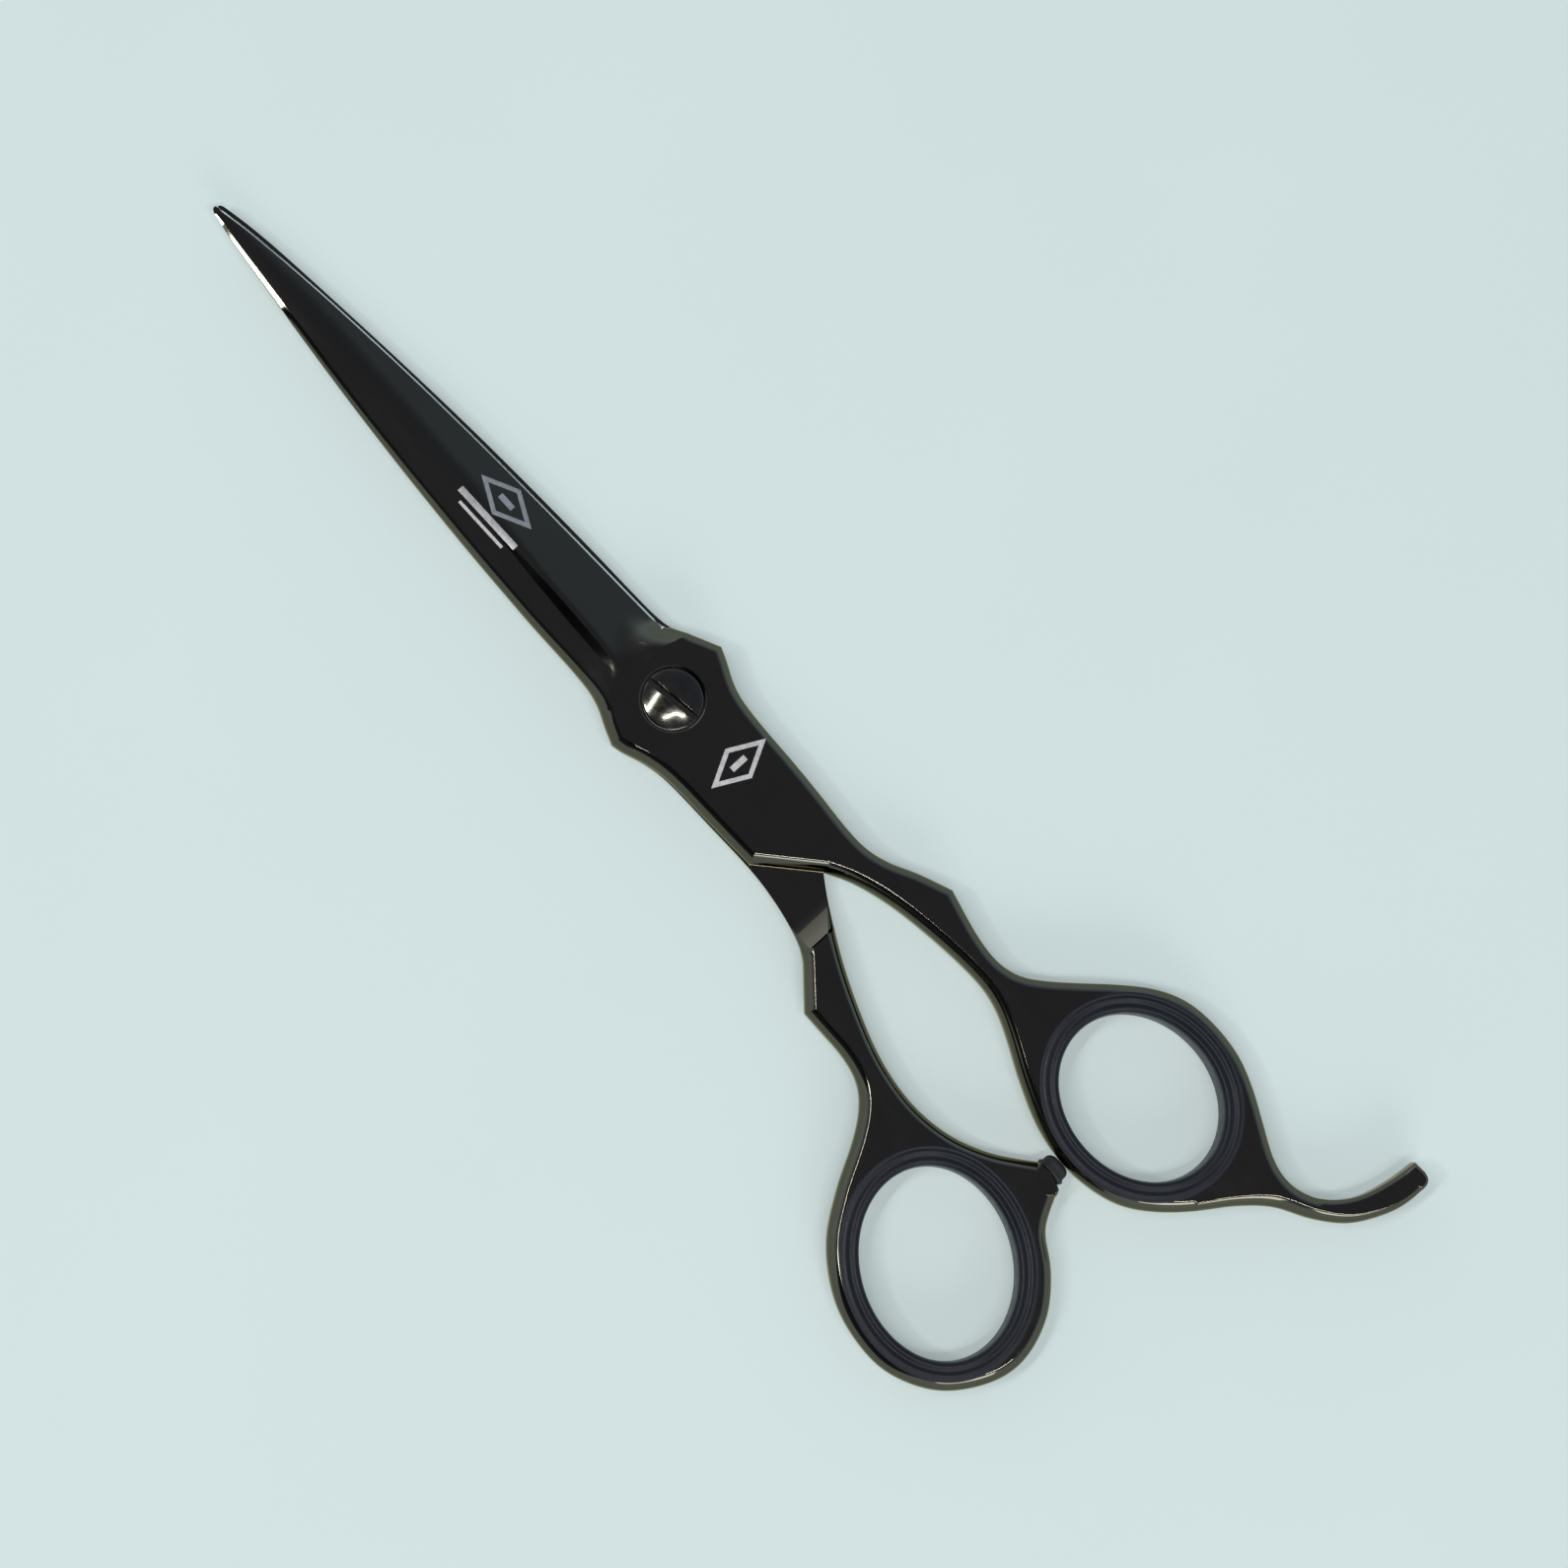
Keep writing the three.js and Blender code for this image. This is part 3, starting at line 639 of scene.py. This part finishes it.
def bush(material):
    s = Surface()
    inner, outer, flange = 2.06, 2.65, 3.6
    lathe(s, [
        [(inner + 0.1, 3.1), (outer - 0.1, 3.1)], [(outer - 0.1, 3.1), (outer, 3.2)],
        [(outer, 3.2), (outer, 4.55)], [(outer, 4.55), (flange - 0.05, 4.55)],
        curved((flange - 0.05, 4.55), (flange - 0.05, 4.85), 0.05, 4),
        [(flange - 0.05, 4.85), (inner + 0.1, 4.85)], [(inner + 0.1, 4.85), (inner, 4.75)],
        [(inner, 4.75), (inner, 3.2)], [(inner, 3.2), (inner + 0.1, 3.1)],
    ])
    return s.finish("nylon_bush", [material])


def washer(material):
    s = Surface()
    inner, outer = 2.15, 3.4
    lathe(s, [
        curved((inner, 5.02), (outer, 4.9), 0.02), [(outer, 4.9), (outer, 5.15)],
        curved((outer, 5.15), (inner, 5.27), 0.03), [(inner, 5.27), (inner, 5.02)],
    ])
    return s.finish("conical_washer", [material])


def screw(material):
    """The pivot screw: a slotted domed head, a journal and a threaded end."""
    s = Surface()
    thread, journal, head = 1.6, 2.0, 3.58
    rim, crown = 5.84, 6.42
    thread_low, thread_high, turns = 0.5, 2.9, 6
    pitch = (thread_high - thread_low) / turns
    root = thread - 0.18
    edge = thread - 0.02
    ridges = []
    for i in range(turns):
        z = thread_low + pitch * i
        crest, groove = (thread, z + 0.1), (root, z + pitch / 2)
        ridges += [[(edge, z), crest], [crest, groove], [groove, (edge, z + pitch)]]
    lathe(s, [
        [(0, 0.2), (1.3, 0.2)], [(1.3, 0.2), (edge, thread_low)], *ridges,
        [(edge, thread_high), (edge, 3.1)], [(edge, 3.1), (journal, 3.1)],
        [(journal, 3.1), (journal, 5.32)], [(journal, 5.32), (head - 0.1, 5.32)],
        [(head - 0.1, 5.32), (head, 5.42)],
        [(head, 5.42), (head, rim - 0.04)], [(head, rim - 0.04), (head - 0.05, rim)],
        curved((head - 0.05, rim), (0, crown), 0.16, 30),
    ])
    made = s.finish("slotted_pivot_screw", [material])
    cut_slot(made, bottom=5.5, width=0.45, top=crown + 0.2, top_width=0.97, angle=8.4)
    return made


SLOT_CREASE = 25  # degrees, above which the head is creased


def cut_slot(piece, bottom, width, top, top_width, angle):
    """Cuts the screwdriver slot, which is wider at its mouth, and deletes the cutter."""
    s = Surface()
    rows = []
    reach = 9
    for z, across in ((bottom, width), (top, top_width)):
        y = across / 2
        rows.append(s.add([(-reach, -y), (reach, -y), (reach, y), (-reach, y)], z))
    s.strip(rows[0], rows[1], "side", closed=True)
    s.face(rows[0][::-1], "bottom")
    s.face(rows[1], "top")
    turn = Matrix.Rotation(math.radians(angle), 3, "Z")
    cutter = s.finish("slot_cutter", [], lambda p: upright(p @ np.array(turn).T))
    cut = piece.modifiers.new("slot", "BOOLEAN")
    cut.operation = "DIFFERENCE"
    cut.solver = "EXACT"
    cut.object = cutter
    evaluated = piece.evaluated_get(bpy.context.evaluated_depsgraph_get())
    mesh = bpy.data.meshes.new_from_object(evaluated)
    piece.modifiers.clear()
    piece.data = mesh
    mesh.shade_smooth()
    mesh.set_sharp_from_angle(angle=math.radians(SLOT_CREASE))
    bpy.data.objects.remove(cutter)


BUMPER_X = -71  # of the bumper's axis


def bumper(material):
    """The rubber button between the rings, turned about its own axis and stood along y."""
    s = Surface()
    front, back = 2.92, 4.9
    stem, stem_end = 0.8, back + 0.6
    lathe(s, [
        [(0, stem_end), (stem, stem_end)], [(stem, stem_end), (stem, back)],
        [(stem, back), (1.75, back - 0.05)],
        [*curved((1.75, back - 0.05), (1.95, back - 0.5), -0.05, 4), (1.7, back - 0.75), (1.66, front + 0.6),
         *curved((1.66, front + 0.6), (1.0, front), -0.12, 6)[1:], (0, front - 0.02)],
    ], count=64)

    def along_y(p):
        return upright(np.column_stack([p[:, 0] + BUMPER_X, p[:, 2], RIDE - p[:, 1]]))

    return s.finish("rubber_bumper", [material], along_y)


MARK_PROUD, MARK_DEPTH = 0.008, 0.03  # of the etched devices, from the face that they are on
MARK_CELL = 0.25
DIAMOND = [(-3.8, 0), (0, -2), (3.8, 0), (0, 2)]
BLADE_DEVICE = [
    (DIAMOND, 0.55, True),
    ([(-1.1, 0), (1.1, 0)], 0.75, False),
    ([(-4.8, 3.0), (4.8, 3.0)], 0.8, False),
    ([(-3.7, 4.15), (3.7, 4.15)], 0.38, False),
]
SHANK_DEVICE = BLADE_DEVICE[:2]


def plate(s, line, width, surface, closed):
    """A thin plate along a line with mitred corners, let into a surface and just proud of it."""
    p = np.array(line, float)
    ahead = np.roll(p, -1, axis=0) - p
    ahead /= np.linalg.norm(ahead, axis=1)[:, None]
    behind = np.roll(ahead, 1, axis=0)
    if not closed:
        ahead[-1], behind[0] = ahead[-2], ahead[0]
    total = ahead + behind
    mitre = np.column_stack([-total[:, 1], total[:, 0]]) / (1 + (ahead * behind).sum(1))[:, None]
    sides = np.stack([p - mitre * width / 2, p + mitre * width / 2], axis=1)
    if closed:
        sides = np.concatenate([sides, sides[:1]])
    stations = []
    for here, there in zip(sides, sides[1:]):
        cells = max(1, round(np.linalg.norm((there - here).mean(0)) / MARK_CELL))
        stations += [here + (there - here) * i / cells for i in range(cells)]
    if not closed:
        stations.append(sides[-1])
    across = np.linspace(0, 1, max(1, round(width / MARK_CELL)) + 1)[:, None]
    rows = []
    for right_side, left_side in stations:
        xy = right_side + (left_side - right_side) * across
        z = surface(xy[:, 0], xy[:, 1])
        rows.append((s.add(xy, z + MARK_PROUD), s.add(xy, z - MARK_DEPTH)))
    following = rows[1:] + rows[:1] if closed else rows[1:]
    for (top, low), (next_top, next_low) in zip(rows, following):
        s.strip(next_top, top, "face")
        s.strip(low, next_low, "back")
        s.face((low[0], next_low[0], next_top[0], top[0]), "right side")
        s.face((next_low[-1], low[-1], top[-1], next_top[-1]), "left side")
    if not closed:
        s.strip(rows[0][1][::-1], rows[0][0][::-1], "end")
        s.strip(rows[-1][1], rows[-1][0], "end")


def mark(name, centre, turn, plan, material):
    """A plain etched device on the upper half, with the line, width and closedness of each plate."""
    s = Surface()
    edge_line = chain(UPPER["edge"])[::-1]
    a = math.radians(turn)
    spin = np.array([[math.cos(a), math.sin(a)], [-math.sin(a), math.cos(a)]])
    for line, width, closed in plan:
        plate(s, line @ spin + centre, width, lambda x, y: outer_height(x, y, edge_line), closed)
    return s.finish(name, [material])


# ---------------------------------------------------------------- materials


class Finish:
    """A node material on a Principled shader, with its patterns in the object's own coordinates."""

    def __init__(self, name, base, **sockets):
        self.material = bpy.data.materials.new(name)
        self.material.use_nodes = True
        self.nodes, self.links = self.material.node_tree.nodes, self.material.node_tree.links
        self.shader = self.nodes["Principled BSDF"]
        self.shader.inputs["Base Color"].default_value = (*base, 1)
        for key, value in sockets.items():
            self.shader.inputs[key.replace("_", " ")].default_value = value
        self.coordinates = self.nodes.new("ShaderNodeTexCoord")

    def noise(self, size, detail=3, stretch=(1, 1, 1)):
        """Noise with blotches about size metres across, longer along an axis with a large stretch."""
        mapping = self.nodes.new("ShaderNodeMapping")
        mapping.inputs["Scale"].default_value = [1 / x for x in stretch]
        self.links.new(self.coordinates.outputs["Object"], mapping.inputs["Vector"])
        noise = self.nodes.new("ShaderNodeTexNoise")
        noise.inputs["Scale"].default_value = 1 / size
        noise.inputs["Detail"].default_value = detail
        self.links.new(mapping.outputs["Vector"], noise.inputs["Vector"])
        return noise.outputs["Fac"]

    def between(self, value, low, high, start=0.3, end=0.7):
        """A value from low to high."""
        node = self.nodes.new("ShaderNodeMapRange")
        self.links.new(value, node.inputs["Value"])
        for key, number in zip(("From Min", "From Max", "To Min", "To Max"), (start, end, low, high)):
            node.inputs[key].default_value = number
        return node.outputs["Result"]

    def mix(self, value, a, b):
        """A colour between a and b."""
        node = self.nodes.new("ShaderNodeMix")
        node.data_type = "RGBA"
        self.links.new(value, node.inputs["Factor"])
        for key, colour in (("A", a), ("B", b)):
            socket = next(i for i in node.inputs if i.name == key and i.type == "RGBA")
            socket.default_value = (*colour, 1)
        return next(o for o in node.outputs if o.type == "RGBA")

    def put(self, socket, value):
        self.links.new(value, self.shader.inputs[socket])

    def bump(self, value, depth):
        node = self.nodes.new("ShaderNodeBump")
        node.inputs["Distance"].default_value = depth
        self.links.new(value, node.inputs["Height"])
        self.put("Normal", node.outputs["Normal"])


def coated_steel():
    f = Finish("black_coated_steel", (0.1, 0.096, 0.074), Metallic=1.0)
    f.shader.inputs["Specular Tint"].default_value = (0.7, 0.66, 0.52, 1)  # the coat dulls a glancing view
    patches = f.between(f.noise(0.03), 0, 1)
    f.put("Base Color", f.mix(patches, (0.097, 0.093, 0.073), (0.107, 0.103, 0.078)))
    f.put("Roughness", f.between(f.noise(0.002, 5, (3, 1, 1)), 0.055, 0.105))
    f.bump(f.noise(0.004, 2), 2e-6)
    return f.material


def honed_steel():
    f = Finish("honed_steel", (0.72, 0.73, 0.72), Metallic=1.0)
    patches = f.between(f.noise(0.004), 0, 1)
    f.put("Base Color", f.mix(patches, (0.68, 0.69, 0.68), (0.78, 0.79, 0.78)))
    f.put("Roughness", f.between(f.noise(0.0004, 4, (1, 12, 12)), 0.2, 0.38))
    f.bump(f.noise(0.0003, 3, (1, 20, 20)), 4e-6)
    return f.material


def screw_steel():
    f = Finish("black_coated_screw", (0.1, 0.098, 0.08), Metallic=1.0)
    f.shader.inputs["Specular Tint"].default_value = (0.7, 0.68, 0.56, 1)
    patches = f.between(f.noise(0.003), 0, 1)
    f.put("Base Color", f.mix(patches, (0.092, 0.09, 0.074), (0.112, 0.11, 0.09)))
    f.put("Roughness", f.between(f.noise(0.0008, 4), 0.11, 0.18))
    f.bump(f.noise(0.0015, 2), 4e-6)
    return f.material


def spring_steel():
    f = Finish("spring_steel", (0.55, 0.56, 0.57), Metallic=1.0)
    patches = f.between(f.noise(0.002), 0, 1)
    f.put("Base Color", f.mix(patches, (0.5, 0.51, 0.52), (0.6, 0.61, 0.62)))
    f.put("Roughness", f.between(f.noise(0.0005, 4), 0.2, 0.4))
    f.bump(f.noise(0.0006, 3), 4e-6)
    return f.material


def nylon():
    f = Finish("nylon", (0.8, 0.78, 0.73), Subsurface_Weight=0.15)
    f.shader.inputs["Subsurface Radius"].default_value = (0.0006, 0.0005, 0.0004)
    patches = f.between(f.noise(0.002), 0, 1)
    f.put("Base Color", f.mix(patches, (0.76, 0.74, 0.69), (0.84, 0.82, 0.77)))
    f.put("Roughness", f.between(f.noise(0.0006, 4), 0.4, 0.55))
    f.bump(f.noise(0.0004, 3), 1e-5)
    return f.material


def ring_rubber():
    f = Finish("ring_rubber", (0.008, 0.0098, 0.014), Specular_IOR_Level=0.2)
    patches = f.between(f.noise(0.006), 0, 1)
    f.put("Base Color", f.mix(patches, (0.0065, 0.008, 0.0115), (0.0105, 0.0125, 0.0175)))
    f.put("Roughness", f.between(f.noise(0.0007, 5), 0.34, 0.46))
    f.bump(f.noise(0.00035, 4), 7e-6)
    return f.material


def bumper_rubber():
    f = Finish("bumper_rubber", (0.012, 0.0125, 0.0135))
    patches = f.between(f.noise(0.001), 0, 1)
    f.put("Base Color", f.mix(patches, (0.009, 0.0095, 0.0105), (0.019, 0.02, 0.021)))
    f.put("Roughness", f.between(f.noise(0.0004, 5), 0.6, 0.8))
    f.bump(f.noise(0.0002, 5), 2e-5)
    return f.material


def etched_steel():
    f = Finish("etched_steel", (0.4, 0.4, 0.39), Metallic=1.0)
    patches = f.between(f.noise(0.0006, 5), 0, 1)
    f.put("Base Color", f.mix(patches, (0.36, 0.36, 0.35), (0.5, 0.5, 0.49)))
    f.put("Roughness", f.between(f.noise(0.0002, 5), 0.45, 0.65))
    f.bump(f.noise(0.0001, 4), 4e-6)
    return f.material


def table_top():
    f = Finish("pale_table", (0.4, 0.46, 0.45), Roughness=0.6, Specular_IOR_Level=0.2)
    patches = f.between(f.noise(0.05, 4), 0, 1)
    f.put("Base Color", f.mix(patches, (0.395, 0.455, 0.447), (0.405, 0.467, 0.459)))
    f.shader.inputs["Emission Color"].default_value = (0.86, 1.0, 0.955, 1)
    f.shader.inputs["Emission Strength"].default_value = 0.27
    return f.material


# ---------------------------------------------------------------- stage, light and camera


def stage():
    """A large pale table top, just below the shears."""
    half_size, bevel = 6.0, 0.05
    bottom, bevel_low, top = -80, -0.3, -0.02
    s = Surface()
    rows = []
    for reach, z in ((half_size, bottom), (half_size, bevel_low), (half_size - bevel, top)):
        r = reach / MM
        rows.append(s.add([(-r, -r), (r, -r), (r, r), (-r, r)], z))
    s.strip(rows[0], rows[1], "side", closed=True)
    s.strip(rows[1], rows[2], "edge", closed=True)
    s.face(rows[2], "top")
    s.face(rows[0][::-1], "bottom")
    made = s.finish("table", [table_top()])


LAMP_HEIGHT = 2.0


def softbox(name, azimuth, from_zenith, distance, size, watts):
    """An area light that looks at the shears. Azimuth 0 is towards +x and 90 towards +y."""
    light = bpy.data.lights.new(name, "AREA")
    light.shape = "RECTANGLE"
    light.size, light.size_y = size
    light.energy = watts
    made = bpy.data.objects.new(name, light)
    bpy.context.scene.collection.objects.link(made)
    a, z = math.radians(azimuth), math.radians(from_zenith)
    away = Vector((math.cos(a) * math.sin(z), math.sin(a) * math.sin(z), math.cos(z)))
    made.location = away * distance
    made.rotation_mode = "QUATERNION"
    made.rotation_quaternion = away.to_track_quat("Z", "Y")


def ceiling_lamp(name, start, end, width, watts):
    """A narrow lamp that faces down. Its ends are given as distances per metre of its height."""
    start, end = Vector((*start, 1)) * LAMP_HEIGHT, Vector((*end, 1)) * LAMP_HEIGHT
    light = bpy.data.lights.new(name, "AREA")
    light.shape = "RECTANGLE"
    light.size, light.size_y = (end - start).length, width
    light.energy = watts
    made = bpy.data.objects.new(name, light)
    bpy.context.scene.collection.objects.link(made)
    made.location = (start + end) / 2
    made.rotation_euler.z = math.atan2(end.y - start.y, end.x - start.x)


def world():
    """A dim room, paler towards the walls, with two dark things that the black coat mirrors.

    One is a person who leans in at the +y side, and the other is the camera overhead.
    """
    made = bpy.data.worlds.new("studio")
    bpy.context.scene.world = made
    made.use_nodes = True
    nodes, links = made.node_tree.nodes, made.node_tree.links
    background = nodes["Background"]
    coordinates = nodes.new("ShaderNodeTexCoord")

    def closeness(direction):
        node = nodes.new("ShaderNodeVectorMath")
        node.operation = "DOT_PRODUCT"
        links.new(coordinates.outputs["Generated"], node.inputs[0])
        node.inputs[1].default_value = Vector(direction).normalized()
        return node.outputs["Value"]

    def ramp(value, stops):
        node = nodes.new("ShaderNodeValToRGB")
        links.new(value, node.inputs["Fac"])
        node.color_ramp.interpolation = "EASE"
        for i, (place, colour) in enumerate(stops):
            stop = node.color_ramp.elements[i] if i < 2 else node.color_ramp.elements.new(place)
            stop.position = place
            stop.color = (*colour, 1)
        return node.outputs["Color"]

    def multiply(a, b):
        node = nodes.new("ShaderNodeMix")
        node.data_type = "RGBA"
        node.blend_type = "MULTIPLY"
        node.inputs[0].default_value = 1
        for socket, colour in zip([i for i in node.inputs if i.type == "RGBA"], (a, b)):
            links.new(colour, socket)
        return next(o for o in node.outputs if o.type == "RGBA")

    room = ramp(closeness((0, 0, 1)), [(0.1, (0.75, 0.82, 0.93)), (0.88, (0.137, 0.141, 0.195))])
    tint = ramp(closeness((0, -1, 0)), [(0.2, (1, 1, 1)), (0.8, (0.8, 0.92, 1.0))])
    clear, dark = (1, 1, 1), (0.1, 0.1, 0.1)
    person = ramp(closeness((0, 0.87, 0.49)), [(0.82, clear), (0.89, dark)])
    overhead = ramp(closeness((0.1, 0.18, 1)), [(0.979, clear), (0.9895, dark)])
    colour = multiply(multiply(room, tint), multiply(person, overhead))
    links.new(colour, background.inputs["Color"])


VIEW_TILT = math.radians(7)  # of the camera from straight above
VIEW_TURN = math.radians(227.56)  # the picture's right, from +x
VIEW_DISTANCE = 650
VIEW_WIDTH = 185  # across the picture at that distance
VIEW_TARGET = (-16.153, -3.274)
right = Vector((math.cos(VIEW_TURN), math.sin(VIEW_TURN), 0))
down = Vector((right.y, -right.x, 0))
towards = (down - right).normalized()
tip_over = Matrix.Rotation(VIEW_TILT, 3, Vector((0, 0, 1)).cross(towards))
VIEW_BACK = tip_over @ Vector((0, 0, 1))


def camera():
    data = bpy.data.cameras.new("camera")
    data.sensor_width = 36
    data.lens = data.sensor_width * VIEW_DISTANCE / VIEW_WIDTH
    data.clip_start, data.clip_end = 0.05, 50
    made = bpy.data.objects.new("camera", data)
    bpy.context.scene.collection.objects.link(made)
    axes = Matrix((tip_over @ right, tip_over @ -down, VIEW_BACK)).transposed()
    target = PIVOT + Vector((*VIEW_TARGET, 0)) * MM
    made.matrix_world = Matrix.Translation(target + VIEW_BACK * VIEW_DISTANCE * MM) @ axes.to_4x4()
    bpy.context.scene.camera = made


# ---------------------------------------------------------------- the whole


def fit(piece, body, slot, *nodes):
    """Makes a piece move with a body and stand for CAD nodes."""
    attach(piece, body)
    if nodes:
        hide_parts(*nodes)


coat, honed = coated_steel(), honed_steel()
rubber, etched = ring_rubber(), etched_steel()
upper = half("upper_blade_and_handle", UPPER, upright, [coat, honed])
fit(upper, "finger_half", "black_coated_steel", "upper_half")
lower = half("lower_blade_and_handle", LOWER, turned_over, [coat, honed])
fit(lower, "thumb_half", "black_coated_steel", "lower_half")
finger_insert = ring_insert("finger_ring_rubber", UPPER["ring"], upright, rubber)
fit(finger_insert, "finger_half", "ring_rubber", "finger_ring_insert")
thumb_insert = ring_insert("thumb_ring_rubber", LOWER["ring"], turned_over, rubber)
fit(thumb_insert, "thumb_half", "ring_rubber", "thumb_ring_insert")
fit(screw(screw_steel()), "screw", "black_coated_screw", "pivot_screw")
fit(bush(nylon()), "finger_half", "nylon", "pivot_bush")
fit(washer(spring_steel()), "finger_half", "spring_steel", "spring_washer")
fit(bumper(bumper_rubber()), "thumb_half", "bumper_rubber", "bumper")
fit(mark("blade_device", (30.4, -1.4), 0, BLADE_DEVICE, etched), "finger_half", "spring_steel")
fit(mark("shank_device", (-10.8, -0.6), 90, SHANK_DEVICE, etched), "finger_half", "spring_steel")

stage()
world()
ceiling_lamp("tip_lamp", (0.35, 0.02), (0.262, 0.55), 0.08, 13)
ceiling_lamp("spine_lamp", (0.25, 0.545), (0.45, 0.56), 0.16, 8)
ceiling_lamp("handle_lamp", (-0.144, 0.35), (-0.23, 0.06), 0.08, 7.5)
ceiling_lamp("far_lamp", (-0.23, 0.06), (-0.46, -0.06), 0.08, 6)
softbox("handle_softbox", 152, 62, 2.0, (1.0, 0.7), 11)
softbox("tip_softbox", 0, 66, 2.0, (1.2, 1.3), 2.6)
camera()
bpy.context.scene.view_settings.view_transform = "Standard"
